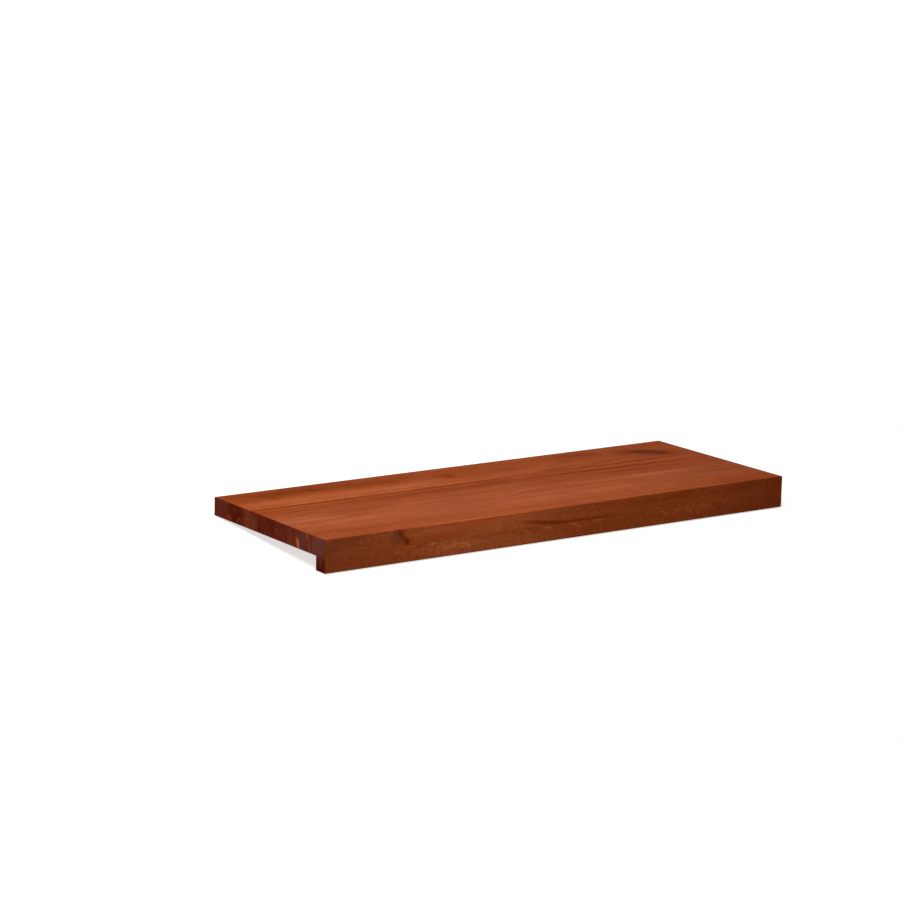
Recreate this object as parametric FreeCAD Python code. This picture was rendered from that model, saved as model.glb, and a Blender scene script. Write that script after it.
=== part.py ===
"""Stair tread with a square dropped nosing, glued up from solid wood.

Three equal staves are edge-glued into a panel. A strip is housed in a rebate under the front
stave's front edge and hangs below the panel, so that the tread hooks over the riser under it.
The blank is cut square after gluing and its arrises are eased, so every outer edge is rounded
and every glue line is sharp.

Frame: +X along the tread's length, -Y towards the nosing, +Z up. The origin is the middle of
the footprint, at the level of the nosing's underside. Millimetres.
"""
import FreeCAD, Part
import os

# Driving dimensions
TREAD_LENGTH = 762.0        # across the flight
TREAD_DEPTH = 279.4         # front of the nosing to the back edge
PANEL_THICKNESS = 25.4
NOSING_DEPTH = 22.225       # the strip, front to back
NOSING_HEIGHT = 22.225      # the strip, top to bottom
REBATE_HEIGHT = 3.175       # how far the strip is let up into the panel
ARRIS_RADIUS = 1.0          # sanded outer edges

STAVES = ("back_stave", "middle_stave", "front_stave")

# Lines across the section, worked out from the dimensions above
END_X = TREAD_LENGTH / 2
FRONT_Y = -TREAD_DEPTH / 2
BACK_Y = TREAD_DEPTH / 2
NOSING_BACK_Y = FRONT_Y + NOSING_DEPTH
UNDERSIDE_Z = NOSING_HEIGHT - REBATE_HEIGHT
TOP_Z = UNDERSIDE_Z + PANEL_THICKNESS
STAVE_WIDTH = TREAD_DEPTH / len(STAVES)
SAME_PLACE = 0.001          # two points this near are one


def timber(y_low, y_high, z_low, z_high):
    """A square-sawn length of wood, as long as the tread."""
    corner = FreeCAD.Vector(-END_X, y_low, z_low)
    return Part.makeBox(TREAD_LENGTH, y_high - y_low, z_high - z_low, corner)


def section():
    """The tread's section: the panel, with the nosing hanging from its front edge."""
    outline = [
        (FRONT_Y, 0),
        (NOSING_BACK_Y, 0),
        (NOSING_BACK_Y, UNDERSIDE_Z),
        (BACK_Y, UNDERSIDE_Z),
        (BACK_Y, TOP_Z),
        (FRONT_Y, TOP_Z),
        (FRONT_Y, 0),
    ]
    return Part.Face(Part.makePolygon([FreeCAD.Vector(-END_X, y, z) for y, z in outline]))


def is_inner_corner(edge):
    """True for the edge where the nosing's back meets the panel's underside."""
    corner = FreeCAD.Vector(0, NOSING_BACK_Y, UNDERSIDE_Z)
    return edge.CenterOfMass.isEqual(corner, SAME_PLACE)


def dressed_blank():
    """The whole tread, cut square, with every outer arris eased and the inner corner sharp."""
    blank = section().extrude(FreeCAD.Vector(TREAD_LENGTH, 0, 0))
    arrises = [edge for edge in blank.Edges if not is_inner_corner(edge)]
    return blank.makeFillet(ARRIS_RADIUS, arrises)


def pieces():
    """Each piece by name: its sawn timber, dressed with the rest of the blank."""
    blank = dressed_blank()
    strip = timber(FRONT_Y, NOSING_BACK_Y, 0, NOSING_HEIGHT)
    made = {"nosing_strip": blank.common(strip)}
    for place, name in enumerate(STAVES):
        stave_back = BACK_Y - place * STAVE_WIDTH
        stave = timber(stave_back - STAVE_WIDTH, stave_back, UNDERSIDE_Z, TOP_Z)
        made[name] = blank.common(stave.cut(strip))
    return made


def main():
    """Write each piece to its own file."""
    os.makedirs("parts", exist_ok=True)
    for name, shape in pieces().items():
        print(name, len(shape.Solids), "solid", round(shape.Volume / 1000, 2), "cm3")
        shape.exportStep(f"parts/{name}.step")


main()
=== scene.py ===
"""Looks of a stair tread: solid wood with a red-brown stain, on a pale studio floor.

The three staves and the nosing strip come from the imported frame. Each gets the wood it was sawn
from as one solid pattern (growth rings round a pith line, streaks, fibres, knots and marks in the
stain) so that the figure on the top, the edges and the ends of a piece belongs together.
"""
import math
from collections import namedtuple

import bpy
from mathutils import Matrix, Vector


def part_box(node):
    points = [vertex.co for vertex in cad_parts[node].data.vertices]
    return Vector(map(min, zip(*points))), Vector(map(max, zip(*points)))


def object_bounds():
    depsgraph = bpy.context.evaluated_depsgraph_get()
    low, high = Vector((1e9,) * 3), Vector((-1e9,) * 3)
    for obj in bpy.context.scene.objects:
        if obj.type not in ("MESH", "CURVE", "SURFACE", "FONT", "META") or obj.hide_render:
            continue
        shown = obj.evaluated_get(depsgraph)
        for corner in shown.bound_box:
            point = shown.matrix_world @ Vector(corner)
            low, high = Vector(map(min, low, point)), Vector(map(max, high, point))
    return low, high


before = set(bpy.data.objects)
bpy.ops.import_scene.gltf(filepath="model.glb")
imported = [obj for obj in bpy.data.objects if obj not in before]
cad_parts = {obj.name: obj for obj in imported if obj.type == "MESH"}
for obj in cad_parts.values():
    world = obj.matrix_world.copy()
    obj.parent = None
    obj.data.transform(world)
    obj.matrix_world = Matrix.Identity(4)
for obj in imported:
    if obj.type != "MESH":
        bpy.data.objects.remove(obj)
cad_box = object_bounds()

MM = 0.001
LOW, HIGH = cad_box

# Camera: a long lens from the front left, a little above the tread, rolled slightly to one side.
# Angles are degrees, lens and sensor millimetres, and the rest metres.
CAMERA_AZIMUTH = -34.86
CAMERA_ELEVATION = 12.02
CAMERA_ROLL = 1.24
CAMERA_DISTANCE = 4.002
CAMERA_AIM = Vector((-0.0554, 0.0563, 0.0906))
CAMERA_LENS = 116.17
CAMERA_SENSOR = 36.0

# Light: one large soft box above the left front, a weak one behind the right end, which only
# lightens that side and puts no gloss on the top, and a low even fill from all round
SoftBox = namedtuple("SoftBox", "name place side watts glossy")
SOFT_BOXES = [
    SoftBox("main light", Vector((-0.45, -0.45, 1.20)), 1.0, 16.2, True),
    SoftBox("back light", Vector((0.80, 0.80, 0.25)), 0.8, 3.0, False),
]
FILL = 0.24
WHITE = "#FFFFFF"
WHITE_GLOW = 1.0

# Floor: the even light that it sends up, what the camera sees of it, and how far from the middle
# of the tread its shadow starts to fade and has run out, in metres
FLOOR_SIDE = 12.0
FLOOR_LIGHT = 0.32
FLOOR_SHOWN_GREY = "#CECECE"
FLOOR_GLOW = 0.66
SHADOW_REACH = (0.50, 0.95)

# Wood. Places are millimetres from the left end, from the back edge, and down from the top face.
RIGHT_END = (HIGH.x - LOW.x) / MM
FRONT = (HIGH.y - LOW.y) / MM
FIRST_JOINT = (HIGH.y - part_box("back_stave")[0].y) / MM
SECOND_JOINT = (HIGH.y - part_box("middle_stave")[0].y) / MM
NOSING_TOP = (HIGH.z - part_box("nosing_strip")[1].z) / MM

# A timber's tones say how deep its stain is on the long faces and on the ends. Its pith and lean,
# in degrees sideways and downwards, say where it lay in the log, and its spacing how wide a ring
# is. The rest is how strong its rings, streaks, clouds and cross ripple are.
Timber = namedtuple("Timber", "tone end_tone pith lean spacing ring streak cloud ripple")
TIMBERS = {
    "back_stave": Timber(
        tone=0.42, end_tone=0.439, pith=(105, 75), lean=(0.4, 0.3), spacing=3.6,
        ring=0.22, streak=0.13, cloud=0.16, ripple=0.05,
    ),
    "middle_stave": Timber(
        tone=0.41, end_tone=0.459, pith=(185, 95), lean=(0.3, -0.2), spacing=3.2,
        ring=0.22, streak=0.13, cloud=0.10, ripple=0.05,
    ),
    "front_stave": Timber(
        tone=0.39, end_tone=0.399, pith=(150, 14), lean=(-0.5, 0.2), spacing=3.4,
        ring=0.20, streak=0.10, cloud=0.12, ripple=0.08,
    ),
    "nosing_strip": Timber(
        tone=0.40, end_tone=0.439, pith=(190, 38), lean=(0.3, 0.4), spacing=2.8,
        ring=0.14, streak=0.08, cloud=0.12, ripple=0.10,
    ),
}
# How far apart the pieces lay in the log, in millimetres, so that no two share their figure
LOG_STEP = (1900, 310, 170)

# Where pieces are glued to each other: an axis and a place on it
JOINTS = {
    "back_stave": [("Y", FIRST_JOINT)],
    "middle_stave": [("Y", FIRST_JOINT), ("Y", SECOND_JOINT)],
    "front_stave": [("Y", SECOND_JOINT)],
    "nosing_strip": [("Z", NOSING_TOP)],
}
# How far to each side of a glue line stain gathers, in millimetres, and how deep it is there
GLUE_LINE = 0.5
GLUE_TONE = 0.20

# A knot pushes the grain aside, by a share of the distance from its middle. A mark deepens the
# stain, or thins it below zero. A patch has a colour of its own.
# Each is seen on one face and turns on it by degrees, from its first direction to its second:
# along to the front on the top, along to down on the front, and front to down on an end.
# Its core is the share of its reach within which it is as strong as it gets.
Knot = namedtuple("Knot", "name face at reach turn push core", defaults=[0.0])
Mark = namedtuple("Mark", "name face at reach turn tone core", defaults=[0.0])
Patch = namedtuple("Patch", "name face at reach turn colour share core", defaults=[0.0])
TURN_AXIS = {"top": (0, 0, 1), "front": (0, -1, 0), "end": (1, 0, 0)}
LONG_FACES = ("top", "front")
ENDS = ("end",)

KNOTS = {
    "back_stave": [
        Knot("knot streak", "top", (694, 58, 0), (110, 40, 40), 24, 0.60),
        Knot("small knot", "top", (345, 50, 0), (60, 24, 30), 0, 0.60),
        Knot("small knot", "top", (140, 32, 0), (60, 20, 30), 0, 0.60),
    ],
    "front_stave": [
        Knot("knot", "front", (118, FRONT, 9), (50, 30, 24), 0, 0.60),
    ],
}


def end_stripes(tone):
    """Dark upright stripes on the front, close to the right end."""
    return [
        Mark("dark stripe", "front", (along, FRONT, 8), (3, 6, 40), 0, tone)
        for along in (734, 742, 748, 755)
    ]


MARKS = {
    "back_stave": [
        Mark("dark band along the back", "top", (130, 22, 0), (280, 38, 20), 1, 0.16),
        Mark("dark mottle", "top", (82, 28, 0), (60, 17, 14), 0, 0.16),
        Mark("dark mottle", "top", (140, 32, 0), (28, 11, 12), 8, 0.08),
        Mark("dark spot", "top", (134.5, 32, 0), (9, 7, 8), 0, 0.22),
        Mark("dark spot", "top", (144.5, 34, 0), (7, 7, 8), 0, 0.22),
        Mark("dark mottle", "top", (230, 34, 0), (70, 10, 12), 3, 0.10),
        Mark("dark stroke", "top", (66, 46, 0), (12, 15, 10), 0, 0.14),
        Mark("small knot", "top", (343, 42, 0), (24, 11, 12), -10, 0.18),
        Mark("small knot's foot", "top", (349, 56, 0), (18, 13, 12), 60, 0.20),
        Mark("smudge", "top", (440, 50, 0), (30, 13, 12), 0, 0.08),
        Mark("smudge", "top", (552, 47, 0), (20, 11, 12), 0, 0.12),
        Mark("smudge", "top", (592, 27, 0), (60, 22, 14), 8, 0.14),
        Mark("knot streak", "top", (694, 57, 0), (76, 32, 16), 26, 0.27),
        Mark("knot streak's heart", "top", (698, 58, 0), (40, 22, 14), 34, 0.12, 0.3),
        Mark("knot streak's head", "top", (681, 49, 0), (40, 17, 14), 10, 0.12),
        Mark("knot streak's foot", "top", (713, 69, 0), (24, 20, 14), 40, 0.11),
        Mark("dot beside the knot", "top", (686, 82, 0), (8, 7, 8), 0, 0.14),
        Mark("dark corner", "top", (740, 10, 0), (110, 28, 14), 0, 0.07),
        Mark("pale ground", "top", (150, 73, 0), (380, 32, 18), 0, -0.19),
        Mark("pale line beside the joint", "top", (190, 90, 0), (340, 4.5, 12), 0, -0.20, 0.3),
        Mark("pale ground", "top", (540, 72, 0), (170, 24, 14), 0, -0.06),
        Mark("dark heart", "end", (0, 56, 11), (60, 24, 30), 0, 0.16, 0.4),
        Mark("dark ring edge", "end", (0, 58, 14), (60, 18, 2.4), -32, 0.22),
        Mark("dark ring edge", "end", (0, 69, 15), (60, 12, 2.0), -32, 0.22),
        Mark("pale ground", "end", (0, 92, 15), (60, 17, 34), 0, -0.17, 0.4),
    ],
    "middle_stave": [
        Mark("dark line beside the joint", "top", (190, 98.5, 0), (360, 5, 12), 0, 0.20, 0.3),
        Mark("dark line beside the joint", "top", (360, 99, 0), (80, 5, 12), 0, 0.10),
        Mark("pale line", "top", (75, 105.5, 0), (120, 4, 10), 0, -0.08),
        Mark("dark line", "top", (45, 113, 0), (85, 3.5, 10), 0, 0.16),
        Mark("dark line", "top", (48, 127, 0), (80, 5, 10), 0, 0.20),
        Mark("dark band", "top", (280, 117, 0), (230, 24, 16), 1, 0.16),
        Mark("dark band's head", "top", (385, 108, 0), (55, 19, 14), 0, 0.12),
        Mark("dark band's foot", "top", (370, 123, 0), (80, 10, 12), 0, 0.08),
        Mark("pale streak", "top", (220, 111, 0), (95, 3.6, 10), 1, -0.10),
        Mark("dark line", "top", (600, 98.5, 0), (190, 5, 12), 0, 0.18, 0.3),
        Mark("long dark line", "top", (555, 117, 0), (240, 8, 12), 1.4, 0.18),
        Mark("long dark line's core", "top", (610, 118.5, 0), (150, 4, 10), 1, 0.11),
        Mark("dark line", "top", (540, 136, 0), (170, 7, 10), 4, 0.15),
        Mark("dark line", "top", (650, 143, 0), (120, 7, 10), 2, 0.08),
        Mark("ruddy ground", "top", (140, 150, 0), (100, 50, 14), 0, 0.05),
        Mark("pale ground", "top", (25, 178, 0), (120, 34, 14), 0, -0.08),
        Mark("pale ground", "top", (300, 178, 0), (340, 22, 14), 0, -0.06),
        Mark("pale ground", "top", (560, 173, 0), (190, 18, 14), 0, -0.10),
        Mark("pale line", "top", (640, 177, 0), (120, 5, 10), 0, -0.08),
        # Painted shade: deeper stain over the right half of the top, for the light falling off towards the
        # right end
        Mark("ruddy ground", "top", (620, 150, 0), (330, 60, 14), 0, 0.06),
        Mark("pale ground", "end", (0, 102, 17), (60, 14, 30), 0, -0.18),
        Mark("dark heart", "end", (0, 140, 10), (60, 44, 34), 0, 0.06),
        Mark("dark upright", "end", (0, 116, 12), (40, 4, 30), 0, 0.10),
        Mark("dark upright", "end", (0, 152, 8), (40, 6, 22), 0, 0.10),
    ],
    "front_stave": [
        Mark("pale flame", "top", (365, 225, 0), (85, 18, 12), 0, -0.10),
        Mark("pale flame", "top", (486, 221, 0), (75, 16, 12), 0, -0.10),
        Mark("pale ground", "top", (60, 205, 0), (150, 28, 14), 0, -0.06),
        Mark("pale line", "top", (60, 228, 0), (130, 4, 10), 0, -0.08),
        Mark("dim patch", "top", (718, 198, 0), (62, 17, 12), 0, 0.14),
        Mark("dark line", "top", (350, 256, 0), (170, 9, 12), 0, 0.08),
        Mark("dark line", "top", (60, 247, 0), (130, 11, 12), 0, 0.06),
        Mark("dark corner", "top", (725, 262, 0), (150, 30, 12), 0, 0.10),
        Mark("ruddy ground", "top", (70, 252, 0), (230, 52, 12), 0, 0.08),
        Mark("ruddy ground", "top", (700, 220, 0), (220, 60, 12), 0, 0.06),
        Mark("dark end", "front", (0, FRONT, 10), (80, 8, 30), 0, 0.12),
        Mark("shade beside the knot", "front", (109, FRONT, 13), (15, 5, 15), 0, 0.14),
        Mark("knot", "front", (113, FRONT, 3), (14, 4, 11), 0, 0.28),
        Mark("knot", "front", (119.5, FRONT, 10), (15, 6, 6), 60, 0.34),
        Mark("knot's foot", "front", (124.5, FRONT, 18), (8, 6, 7), 40, 0.36),
        Mark("pale ground", "front", (240, FRONT, 8), (170, 8, 26), 0, -0.22),
        Mark("dark streak", "front", (343, FRONT, 17.0), (54, 8, 4.6), 6.5, 0.33),
        Mark("streak along the seam", "front", (412, FRONT, 21.8), (92, 8, 3.2), 0, 0.28),
        Mark("dark ground", "front", (600, FRONT, 8), (200, 8, 24), 0, 0.08),
        Mark("dark end", "front", (RIGHT_END, FRONT, 10), (150, 8, 30), 0, 0.20),
        *end_stripes(0.10),
        Mark("pale upright", "end", (0, 196, 13), (50, 8, 34), 0, -0.05),
    ],
    "nosing_strip": [
        Mark("dark end", "front", (0, FRONT, 34), (110, 12, 24), 0, 0.16),
        Mark("pale ground", "front", (230, FRONT, 33), (190, 12, 26), 0, -0.16),
        Mark("dark ground", "front", (560, FRONT, 36), (240, 12, 26), 0, 0.08),
        Mark("dark end", "front", (RIGHT_END, FRONT, 33), (170, 12, 30), 0, 0.20),
        Mark("pale dot", "front", (165, FRONT, 25), (6, 8, 4), 0, -0.28),
        Mark("pale fleck", "front", (143, FRONT, 32), (30, 8, 2.6), -15, -0.12),
        Mark("pale fleck", "front", (122, FRONT, 33), (12, 8, 3.0), -60, -0.11),
        Mark("pale fleck", "front", (93, FRONT, 37), (16, 8, 3), 0, -0.10),
        Mark("pale fleck", "front", (62, FRONT, 36.5), (12, 8, 3), 10, -0.10),
        Mark("pale fleck", "front", (30, FRONT, 26), (10, 8, 3), -60, -0.08),
        Mark("pale fleck", "front", (317, FRONT, 27), (14, 8, 3.0), 30, -0.10),
        Mark("pale fleck", "front", (348, FRONT, 26), (14, 8, 2.4), 0, -0.14),
        Mark("pale fleck", "front", (393, FRONT, 26), (14, 8, 2.4), 0, -0.14),
        Mark("pale fleck", "front", (438, FRONT, 25), (20, 8, 2.2), 0, -0.14),
        Mark("pale fleck", "front", (668, FRONT, 26), (16, 8, 3.0), 23, -0.08),
        Mark("pale fleck", "front", (660, FRONT, 32), (10, 8, 3.0), 50, -0.08),
        *end_stripes(0.05),
    ],
}
# A mark longer than this, in millimetres to each side, has feathered ends
LONG_MARK = 22

# Colours that several patches share
# A pale pink haze laid over the top: painted sheen, put into the colour in place of the lacquer's gloss
PAINTED_SHEEN = "#E0A890"
GREYED = "#8C5440"
GREYED_END_GRAIN = "#8C4B40"
RUDDY = "#743424"
PATCHES = {
    "back_stave": [
        Patch("red fleck", "end", (0, 40, 20.5), (24, 12, 5), 0, "#B8462A", 1.0),
        Patch("tawny fleck", "end", (0, 53, 7), (24, 12, 4), -12, "#8C3C14", 0.8),
        Patch("pale ring edge", "end", (0, 63, 19), (24, 12, 2.4), -38, "#A84A2C", 1.0),
        Patch("red ring edge", "end", (0, 71, 17), (24, 10, 3), -32, "#9A3430", 0.9),
        Patch("purple ground", "end", (0, 20, 11), (40, 30, 24), 0, "#823C30", 0.60),
    ],
    "middle_stave": [
        # Painted sheen: a pale pink haze over the top, in place of the lacquer's gloss
        Patch("painted sheen", "top", (180, 165, 0), (560, 95, 20), 0, PAINTED_SHEEN, 0.032),
        Patch("bloom at the left end", "top", (20, 172, 0), (110, 36, 20), 0, PAINTED_SHEEN, 0.045),
        Patch("bloom at the right end", "top", (690, 178, 0), (170, 40, 20), 0, PAINTED_SHEEN, 0.026),
    ],
    "front_stave": [
        # Painted sheen: a pale pink haze over the top, in place of the lacquer's gloss
        Patch("painted sheen", "top", (200, 215, 0), (580, 100, 20), 0, PAINTED_SHEEN, 0.046),
        Patch("bloom at the right end", "top", (670, 205, 0), (170, 52, 20), 0, PAINTED_SHEEN, 0.034),
        Patch("grey shade beside the knot", "front", (108, FRONT, 12), (15, 20, 15), 0, "#664230", 0.36),
        Patch("greyed end", "front", (0, FRONT, 12), (130, 20, 40), 0, GREYED, 0.22),
        Patch("ruddy ground", "front", (235, FRONT + 1.6, 8), (140, 6, 28), 0, "#B0471D", 0.40, 0.3),
        Patch("ruddy end", "front", (RIGHT_END, FRONT, 20), (240, 20, 60), 0, RUDDY, 0.24),
        Patch("grey ground", "end", (0, 224, 10), (40, 15, 28), 0, "#82463C", 0.85, 0.3),
        Patch("greyed ground", "end", (0, 264, 11), (40, 26, 26), 0, GREYED_END_GRAIN, 0.85, 0.4),
        Patch("orange fleck", "end", (0, 213.5, 18.5), (22, 12, 5.5), 68, "#E87C48", 1.0, 0.2),
        Patch("orange notch", "end", (0, 236.5, 3), (22, 5, 9), 0, "#C0622C", 1.0),
        Patch("orange streak", "end", (0, 240, 17), (22, 5, 12), 0, "#B4522C", 0.9),
    ],
    "nosing_strip": [
        Patch("greyed end", "front", (0, FRONT, 34), (130, 20, 40), 0, GREYED, 0.18),
        Patch("ruddy end", "front", (RIGHT_END, FRONT, 34), (240, 20, 60), 0, RUDDY, 0.24),
        Patch("greyed ground", "end", (0, 264, 11), (40, 26, 26), 0, GREYED_END_GRAIN, 0.85, 0.4),
        Patch("dark ground", "end", (0, 268, 44), (40, 60, 24), 0, "#64150A", 0.95, 0.3),
    ],
}
# How unevenly a patch covers: its share goes up and down with the upright figure of the end grain
PATCHY_SLOPE = 4.5
PATCHY_START = -1.25

# Pale edges of growth layers that arch over knots hidden in the wood: shells of the given reach,
# whose width is a share of it. They are broken here and there, and fade below the crown.
Arch = namedtuple("Arch", "name at reach width tone")
ARCHES = {
    "nosing_strip": [
        Arch("small arch", (207, FRONT, 40), (20, 18, 10.5), 0.20, -0.18),
        Arch("left arch", (543, FRONT, 40), (14, 18, 16), 0.20, -0.09),
        Arch("low arch", (584, FRONT, 42), (17, 18, 17.5), 0.18, -0.12),
        Arch("high arch", (621, FRONT, 43), (18, 18, 19), 0.16, -0.16),
        Arch("high arch's inner layer", (620, FRONT, 43), (12, 18, 16), 0.20, -0.08),
    ],
}
# Where an arch fades in: over these values of the figure that breaks it, and over these shares
# of its reach, counted downwards from its middle
BROKEN = (0.12, 0.42)
CROWN = (-0.15, -0.75)

# Stain on long grain, from the palest wood to the black of a knot
STAIN = [
    (0.10, "#C0683A"),
    (0.25, "#AB562C"),
    (0.40, "#99461D"),
    (0.55, "#893A10"),
    (0.75, "#762D0C"),
    (1.00, "#2E150B"),
]
# Stain on end grain, which soaks up more of it
END_STAIN = [
    (0.10, "#B0562C"),
    (0.25, "#9C4728"),
    (0.40, "#8A3B23"),
    (0.60, "#75200E"),
    (1.00, "#400C04"),
]

# Figure of the wood: its size along, across and through the board, in millimetres, and how many
# finer layers it has. Real fibres and pores are a third as wide: these are as coarse as they need
# to be to show.
Figure = namedtuple("Figure", "size detail")
FIBRE = Figure((45, 0.9, 0.9), 3.0)
FEATHER = Figure((45, 0.9, 0.9), 2.0)
PORE = Figure((16, 0.7, 0.7), 0.0)
STREAK = Figure((260, 5.5, 5.5), 3.0)
CLOUD = Figure((110, 30, 30), 3.0)
RIPPLE = Figure((5, 60, 14), 2.0)
MOTTLE = Figure((5, 6, 3), 1.0)
UPRIGHT = Figure((60, 3.2, 22), 3.0)
BREAK = Figure((22, 12, 8), 1.0)
WANDER = Figure((330, 70, 70), 1.0)
JITTER = Figure((70, 9, 9), 2.0)
WOBBLE = Figure((30, 9, 9), 3.0)
# How ragged every figure is, and the middle that it swings about
RAGGED = 0.6
FIGURE_MEAN = 0.5
# How far the grain and the outlines of spots are moved, in millimetres
WANDER_BY = (16, 9, 9)
JITTER_BY = (6, 1.6, 1.6)
WOBBLE_BY = (6, 1.5, 1.5)
FEATHER_BY = (10, 0.4, 0.4)
# How dark a ring gets from its early wood to its late wood, how often strong rings come, and how
# dark rings are on the whole
RING = [(0.0, 0.1), (0.5, 0.2), (0.82, 0.9), (0.95, 1.0), (1.0, 0.1)]
VIGOUR = 0.37
RING_MEAN = 0.2
# How much each figure darkens the stain
FIBRE_TONE = 0.10
PORE_TONE = 0.10
ARRIS_TONE = 0.14
TOP_MOTTLE_TONE = 0.06
EDGE_MOTTLE_TONE = 0.15
END_RING_TONE = 0.16
UPRIGHT_TONE = 0.15
# Where a pore shows, where a surface is an arris and where it is end grain
PORE_RANGE = (0.60, 0.75)
ARRIS_RANGE = (0.99, 0.90)
END_RANGE = (0.55, 0.85)
# The lacquer's shine, brought down to next to none as on the object, its roughness from the
# palest to the deepest stain, and the raised grain under it. The top's sheen is painted into its colour
# instead, as a pale pink haze.
WOOD_SHINE = 0.010
WOOD_ROUGHNESS = (0.60, 0.74)
GRAIN_RELIEF = 0.06 * MM
RELIEF_STRENGTH = 0.6

# Sockets of a Mix node that mixes two colours
MIX_SHARE, MIX_UNDER, MIX_OVER = 0, 6, 7
MIX_RESULT = 2


def linear(colour):
    """An sRGB hex colour as linear red, green, blue and alpha."""
    parts = [int(colour[i:i + 2], 16) / 255 for i in (1, 3, 5)]
    return [p / 12.92 if p <= 0.04045 else ((p + 0.055) / 1.055) ** 2.4 for p in parts] + [1.0]


def add(tree, kind, feeds=None, output=0, **settings):
    """Add a node with its settings, link or set its inputs, and give one of its outputs."""
    node = tree.nodes.new("ShaderNode" + kind)
    for name, value in settings.items():
        setattr(node, name, value)
    for key, value in (feeds or {}).items():
        if isinstance(value, bpy.types.NodeSocket):
            tree.links.new(value, node.inputs[key])
        else:
            node.inputs[key].default_value = value
    return node.outputs[output] if node.outputs else None


def fill_ramp(socket, stops):
    """Set the stops of a colour ramp: pairs of a place from 0 to 1 and a colour."""
    ramp = socket.node.color_ramp
    while len(ramp.elements) < len(stops):
        ramp.elements.new(0.5)
    for element, (place, colour) in zip(ramp.elements, stops):
        element.position = place
        element.color = colour


def cloudy(tree, place, figure, output="Fac"):
    """Variation from 0 to 1 whose lumps are about the size of the figure."""
    spread = add(tree, "Mapping", {"Vector": place, "Scale": [1 / size for size in figure.size]})
    return add(tree, "TexNoise", {
        "Vector": spread, "Scale": 1.0, "Detail": figure.detail, "Roughness": RAGGED,
    }, output)


def stir(tree, place, by_place, figure, by):
    """A place moved by a cloudy figure, up to about the given way to each side."""
    pattern = cloudy(tree, by_place, figure, "Color")
    moved = add(tree, "VectorMath", {
        0: pattern, 1: [2 * part for part in by], 2: place,
    }, operation="MULTIPLY_ADD")
    return add(tree, "VectorMath", {0: moved, 1: by}, operation="SUBTRACT")


def layer(tree, tone, layers):
    """A tone with patterns laid over it, each times its own amount."""
    for pattern, amount in layers:
        tone = add(tree, "Math", {0: pattern, 1: amount, 2: tone}, operation="MULTIPLY_ADD")
    return tone


def blotch(tree, place, spot):
    """1 in the middle of a knot, mark or patch, falling smoothly to 0 at its reach."""
    turn = [math.radians(spot.turn) * part for part in TURN_AXIS[spot.face]]
    near = add(tree, "Mapping", {
        "Vector": place, "Location": spot.at, "Rotation": turn, "Scale": spot.reach,
    }, vector_type="TEXTURE")
    away = add(tree, "VectorMath", {0: near}, "Value", operation="LENGTH")
    return add(tree, "MapRange", {
        "Value": away, "From Min": 1.0, "From Max": spot.core,
    }, interpolation_type="SMOOTHSTEP")


def lie_of_grain(tree, name, place, in_log):
    """Places along the grain, which wanders down the board and bends round the knots."""
    grain = stir(tree, place, in_log, WANDER, WANDER_BY)
    grain = stir(tree, grain, in_log, JITTER, JITTER_BY)
    for knot in KNOTS.get(name, []):
        inwards = add(tree, "VectorMath", {0: knot.at, 1: place}, operation="SUBTRACT")
        across = add(tree, "VectorMath", {0: inwards, 1: (0, knot.push, knot.push)}, operation="MULTIPLY")
        pushed = add(tree, "VectorMath", {0: across, "Scale": blotch(tree, place, knot)}, operation="SCALE")
        grain = add(tree, "VectorMath", {0: grain, 1: pushed})
    return grain


def growth_rings(tree, timber, grain):
    """How dark the rings are: by the distance from a leaning pith line, in steps of a ring's width."""
    from_pith = add(tree, "Mapping", {
        "Vector": grain, "Location": (0, *timber.pith),
        "Rotation": (0, math.radians(timber.lean[1]), math.radians(timber.lean[0])),
    }, vector_type="TEXTURE")
    across = add(tree, "VectorMath", {0: from_pith, 1: (0, 1, 1)}, operation="MULTIPLY")
    radius = add(tree, "VectorMath", {0: across}, "Value", operation="LENGTH")
    rings = add(tree, "Math", {0: radius, 1: timber.spacing}, operation="DIVIDE")
    year = add(tree, "Math", {0: rings}, operation="FRACT")
    darkness = add(tree, "ValToRGB", {"Fac": year})
    fill_ramp(darkness, [(place, (dark, dark, dark, 1)) for place, dark in RING])
    vigour = add(tree, "TexNoise", {"W": rings, "Scale": VIGOUR, "Detail": 1.0}, noise_dimensions="1D")
    return add(tree, "Math", {0: darkness, 1: vigour}, operation="MULTIPLY")


def glue_lines(tree, name, place):
    """The piece's glue lines, where stain gathers, each with its tone."""
    lines = []
    for axis, line in JOINTS[name]:
        across = add(tree, "SeparateXYZ", {0: place}, axis)
        off = add(tree, "Math", {0: across, 1: line}, operation="SUBTRACT")
        off = add(tree, "Math", {0: off}, operation="ABSOLUTE")
        glue = add(tree, "MapRange", {
            "Value": off, "From Min": GLUE_LINE, "From Max": 0.0,
        }, interpolation_type="SMOOTHSTEP")
        lines.append((glue, GLUE_TONE))
    return lines


def facing(tree):
    """How squarely the surface faces along, across and up or down, each from 0 to 1."""
    normal = add(tree, "VectorMath", {0: add(tree, "TexCoord", output="Normal")}, operation="ABSOLUTE")
    return [add(tree, "SeparateXYZ", {0: normal}, axis) for axis in "XYZ"]


def arris(tree, sides):
    """1 where the surface turns from one face to the next, and 0 on the faces."""
    squarest = add(tree, "Math", {0: sides[0], 1: sides[1]}, operation="MAXIMUM")
    squarest = add(tree, "Math", {0: squarest, 1: sides[2]}, operation="MAXIMUM")
    return add(tree, "MapRange", {
        "Value": squarest, "From Min": ARRIS_RANGE[0], "From Max": ARRIS_RANGE[1],
    }, interpolation_type="SMOOTHSTEP")


def stain_marks(tree, name, faces, uneven, feathered):
    """The marks on the given faces of a piece, each with its tone."""
    marks = [mark for mark in MARKS[name] if mark.face in faces]
    places = [feathered if mark.reach[0] > LONG_MARK else uneven for mark in marks]
    return [(blotch(tree, place, mark), mark.tone) for place, mark in zip(places, marks)]


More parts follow.
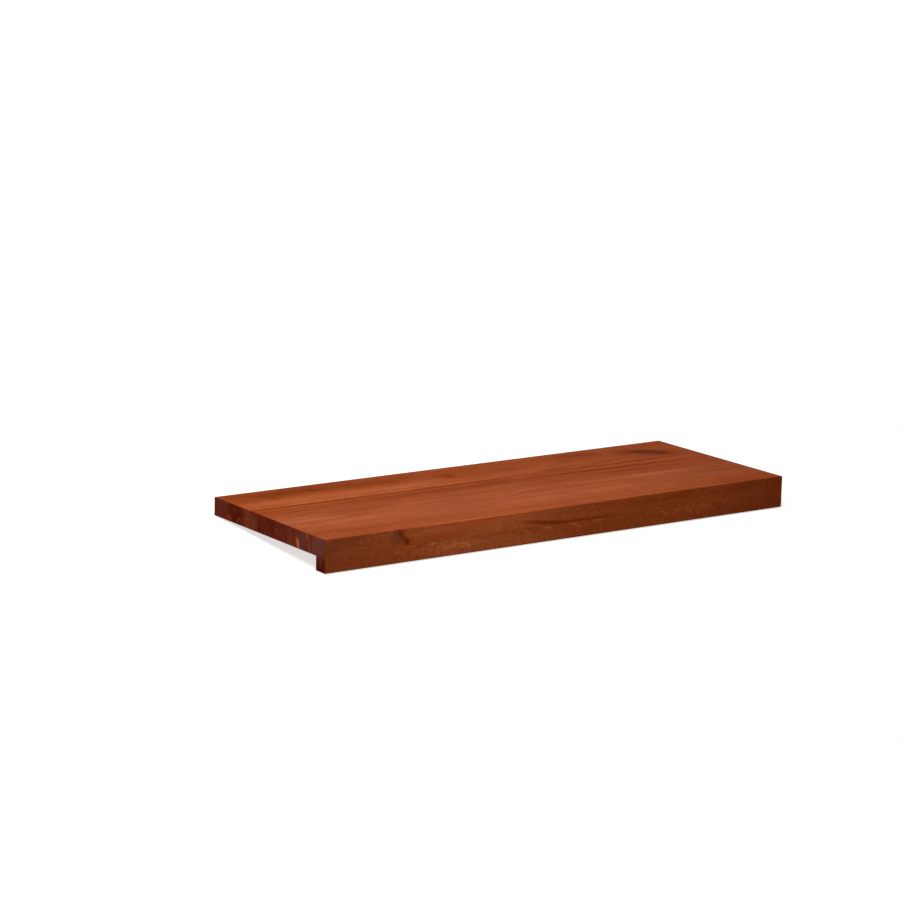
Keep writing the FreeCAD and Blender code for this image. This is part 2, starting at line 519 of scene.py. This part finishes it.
def arch_edges(tree, name, uneven, in_log, to_front):
    """The pale edges of the piece's arched growth layers, which show on its front, each with its tone."""
    arches = ARCHES.get(name, [])
    if not arches:
        return []
    whole = add(tree, "MapRange", {
        "Value": cloudy(tree, in_log, BREAK), "From Min": BROKEN[0], "From Max": BROKEN[1],
    }, interpolation_type="SMOOTHSTEP")
    edges = []
    for arch in arches:
        near = add(tree, "Mapping", {
            "Vector": uneven, "Location": arch.at, "Scale": arch.reach,
        }, vector_type="TEXTURE")
        away = add(tree, "VectorMath", {0: near}, "Value", operation="LENGTH")
        off = add(tree, "Math", {0: away, 1: 1.0}, operation="SUBTRACT")
        off = add(tree, "Math", {0: off}, operation="ABSOLUTE")
        edge = add(tree, "MapRange", {
            "Value": off, "From Min": arch.width, "From Max": 0.0,
        }, interpolation_type="SMOOTHSTEP")
        crown = add(tree, "MapRange", {
            "Value": add(tree, "SeparateXYZ", {0: near}, "Z"), "From Min": CROWN[0], "From Max": CROWN[1],
        }, interpolation_type="SMOOTHSTEP")
        for share in (crown, whole, to_front):
            edge = add(tree, "Math", {0: edge, 1: share}, operation="MULTIPLY")
        edges.append((edge, arch.tone))
    return edges


def patched(tree, name, faces, ground, uneven, patchy):
    """A ground colour with the patches on the given faces of a piece laid over it."""
    for patch in PATCHES[name]:
        if patch.face not in faces:
            continue
        share = add(tree, "Math", {0: blotch(tree, uneven, patch), 1: patch.share}, operation="MULTIPLY")
        share = add(tree, "Math", {0: share, 1: patchy}, operation="MULTIPLY")
        ground = add(tree, "Mix", {
            MIX_SHARE: share, MIX_UNDER: ground, MIX_OVER: linear(patch.colour),
        }, MIX_RESULT, data_type="RGBA")
    return ground


def stained_wood(name, number):
    """Sawn and sanded solid wood with a red-brown stain and a matt lacquer.

    The stain keeps the grain in view: long soft streaks and fine fibres on the faces, ring arcs
    on the ends, which are darker, and next to no shine. A sheen on the top is painted into its colour
    instead.
    """
    timber = TIMBERS[name]
    material = bpy.data.materials.new(f"stained wood, {name.replace('_', ' ')}")
    material.use_nodes = True
    tree = material.node_tree
    tree.nodes.clear()
    place = add(tree, "Mapping", {
        "Vector": add(tree, "TexCoord", output="Object"),
        "Location": (-LOW.x / MM, HIGH.y / MM, HIGH.z / MM), "Scale": (1 / MM, -1 / MM, -1 / MM),
    })
    lay = [number * step for step in LOG_STEP]
    in_log = add(tree, "Mapping", {"Vector": place, "Location": lay})
    grain = lie_of_grain(tree, name, place, in_log)
    in_grain = add(tree, "Mapping", {"Vector": grain, "Location": lay})
    sides = facing(tree)

    # Streaks, clouds, cross ripple and fibres, each swinging evenly about the piece's own tone
    fibre = cloudy(tree, in_grain, FIBRE)
    swings = [
        (cloudy(tree, in_grain, STREAK), timber.streak),
        (cloudy(tree, in_grain, CLOUD), timber.cloud),
        (cloudy(tree, in_grain, RIPPLE), timber.ripple),
        (fibre, FIBRE_TONE),
    ]
    middle = sum(swing for _, swing in swings)
    tone = layer(tree, -middle, [(figure, 2 * swing) for figure, swing in swings])

    # Stain gathers in the glue lines, and the arrises are darker. Edges and ends are sawn rougher than the
    # top and take it less evenly.
    mottle = add(tree, "Math", {0: cloudy(tree, in_grain, MOTTLE), 1: FIGURE_MEAN}, operation="SUBTRACT")
    rough = add(tree, "MapRange", {
        "Value": sides[2], "To Min": 2 * EDGE_MOTTLE_TONE, "To Max": 2 * TOP_MOTTLE_TONE,
    })
    tone = layer(tree, tone, [
        *glue_lines(tree, name, place), (arris(tree, sides), ARRIS_TONE), (mottle, rough),
    ])

    # Spots have uneven outlines. On a long one the stain runs further along some fibres.
    uneven = stir(tree, place, in_log, WOBBLE, WOBBLE_BY)
    feathered = stir(tree, uneven, in_grain, FEATHER, FEATHER_BY)

    ring = growth_rings(tree, timber, grain)
    pore = add(tree, "MapRange", {
        "Value": cloudy(tree, in_grain, PORE), "From Min": PORE_RANGE[0], "From Max": PORE_RANGE[1],
    }, interpolation_type="SMOOTHSTEP")
    face_tone = layer(tree, timber.tone - timber.ring * RING_MEAN, [
        (tone, 1.0), (ring, timber.ring), (pore, PORE_TONE),
        *stain_marks(tree, name, LONG_FACES, uneven, feathered),
        *arch_edges(tree, name, uneven, in_log, sides[1]),
    ])
    upright = cloudy(tree, in_log, UPRIGHT)
    end_tone = layer(tree, timber.end_tone - END_RING_TONE * RING_MEAN - UPRIGHT_TONE, [
        (tone, 1.0), (ring, END_RING_TONE), (upright, 2 * UPRIGHT_TONE),
        *stain_marks(tree, name, ENDS, uneven, feathered),
    ])

    long_grain = add(tree, "ValToRGB", {"Fac": face_tone})
    fill_ramp(long_grain, [(depth, linear(colour)) for depth, colour in STAIN])
    end_grain = add(tree, "ValToRGB", {"Fac": end_tone})
    fill_ramp(end_grain, [(depth, linear(colour)) for depth, colour in END_STAIN])
    patchy = layer(tree, PATCHY_START, [(upright, PATCHY_SLOPE)])
    at_end = add(tree, "MapRange", {
        "Value": sides[0], "From Min": END_RANGE[0], "From Max": END_RANGE[1],
    }, interpolation_type="SMOOTHSTEP")
    colour = add(tree, "Mix", {
        MIX_SHARE: at_end,
        MIX_UNDER: patched(tree, name, LONG_FACES, long_grain, uneven, patchy),
        MIX_OVER: patched(tree, name, ENDS, end_grain, uneven, patchy),
    }, MIX_RESULT, data_type="RGBA")

    roughness = add(tree, "MapRange", {
        "Value": face_tone, "To Min": WOOD_ROUGHNESS[0], "To Max": WOOD_ROUGHNESS[1],
    })
    relief = add(tree, "Bump", {"Height": fibre, "Strength": RELIEF_STRENGTH, "Distance": GRAIN_RELIEF})
    shader = add(tree, "BsdfPrincipled", {
        "Base Color": colour, "Roughness": roughness, "Specular IOR Level": WOOD_SHINE, "Normal": relief,
    })
    add(tree, "OutputMaterial", {"Surface": shader})
    return material


def dress_pieces():
    """Give each piece of the tread its own wood."""
    for number, name in enumerate(TIMBERS):
        wood = stained_wood(name, number)
        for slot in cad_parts[name].material_slots:
            slot.material = wood


def seen_directly(tree):
    """1 for what the camera, a reflection or a clear body looks at, and 0 for light on its way."""
    rays = ("Is Camera Ray", "Is Glossy Ray", "Is Transmission Ray")
    looks = [add(tree, "LightPath", output=ray) for ray in rays]
    either = add(tree, "Math", {0: looks[0], 1: looks[1]}, operation="MAXIMUM")
    return add(tree, "Math", {0: either, 1: looks[2]}, operation="MAXIMUM")


def white_floor():
    """Matt white studio floor: white with the tread's soft shadow, and clear from below.

    Away from the tread it runs into the white background. It is clear from below so that the
    underside can be looked at.
    """
    material = bpy.data.materials.new("white studio floor")
    material.use_nodes = True
    tree = material.node_tree
    tree.nodes.clear()
    as_light = add(tree, "Emission", {"Strength": FLOOR_LIGHT})
    shown = add(tree, "AddShader", {
        0: add(tree, "BsdfDiffuse", {"Color": linear(FLOOR_SHOWN_GREY)}),
        1: add(tree, "Emission", {"Strength": FLOOR_GLOW}),
    })
    away = add(tree, "VectorMath", {0: add(tree, "TexCoord", output="Object")}, "Value", operation="LENGTH")
    beyond = add(tree, "MapRange", {
        "Value": away, "From Min": SHADOW_REACH[0], "From Max": SHADOW_REACH[1],
    }, interpolation_type="SMOOTHSTEP")
    background = add(tree, "Emission", {"Strength": WHITE_GLOW})
    shown = add(tree, "MixShader", {0: beyond, 1: shown, 2: background})
    above = add(tree, "MixShader", {0: seen_directly(tree), 1: as_light, 2: shown})
    below = add(tree, "NewGeometry", output="Backfacing")
    surface = add(tree, "MixShader", {0: below, 1: above, 2: add(tree, "BsdfTransparent")})
    add(tree, "OutputMaterial", {"Surface": surface})
    return material


def studio_floor():
    """A floor that lies against the tread as it rests, on its nosing and its back edge."""
    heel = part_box("nosing_strip")[1].y
    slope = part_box("back_stave")[0].z / (HIGH.y - heel)
    half = FLOOR_SIDE / 2
    outline = [(-half, -half), (half, -half), (half, half), (-half, half)]
    mesh = bpy.data.meshes.new("floor")
    mesh.from_pydata([(x, y, slope * (y - heel)) for x, y in outline], [], [(0, 1, 2, 3)])
    mesh.materials.append(white_floor())
    floor = bpy.data.objects.new("floor", mesh)
    bpy.context.scene.collection.objects.link(floor)


def studio_light():
    """The soft boxes, turned to the tread, and an even fill that shows as a white background."""
    for box in SOFT_BOXES:
        lamp = bpy.data.lights.new(box.name, "AREA")
        lamp.energy = box.watts
        lamp.size = box.side
        light = bpy.data.objects.new(box.name, lamp)
        light.location = box.place
        light.rotation_mode = "QUATERNION"
        light.rotation_quaternion = (-box.place).to_track_quat("-Z", "Y")
        light.visible_glossy = box.glossy
        bpy.context.scene.collection.objects.link(light)

    world = bpy.data.worlds.new("studio")
    bpy.context.scene.world = world
    world.use_nodes = True
    tree = world.node_tree
    tree.nodes.clear()
    fill = add(tree, "Background", {"Color": linear(WHITE), "Strength": FILL})
    white = add(tree, "Background", {"Color": linear(WHITE), "Strength": WHITE_GLOW})
    surface = add(tree, "MixShader", {0: seen_directly(tree), 1: fill, 2: white})
    add(tree, "OutputWorld", {"Surface": surface})


def studio_camera():
    """The camera, set by the direction that it looks from, with its small roll to one side."""
    azimuth, elevation, roll = map(math.radians, (CAMERA_AZIMUTH, CAMERA_ELEVATION, CAMERA_ROLL))
    back = Vector((
        math.sin(azimuth) * math.cos(elevation),
        -math.cos(azimuth) * math.cos(elevation),
        math.sin(elevation),
    ))
    level = Vector((math.cos(azimuth), math.sin(azimuth), 0))
    right = math.cos(roll) * level + math.sin(roll) * back.cross(level)
    turned = Matrix((right, back.cross(right), back)).transposed()
    lens = bpy.data.cameras.new("camera")
    lens.lens = CAMERA_LENS
    lens.sensor_width = CAMERA_SENSOR
    camera = bpy.data.objects.new("camera", lens)
    camera.matrix_world = Matrix.Translation(CAMERA_AIM + CAMERA_DISTANCE * back) @ turned.to_4x4()
    bpy.context.scene.collection.objects.link(camera)
    bpy.context.scene.camera = camera


dress_pieces()
studio_floor()
studio_light()
studio_camera()
bpy.context.scene.view_settings.view_transform = "Standard"
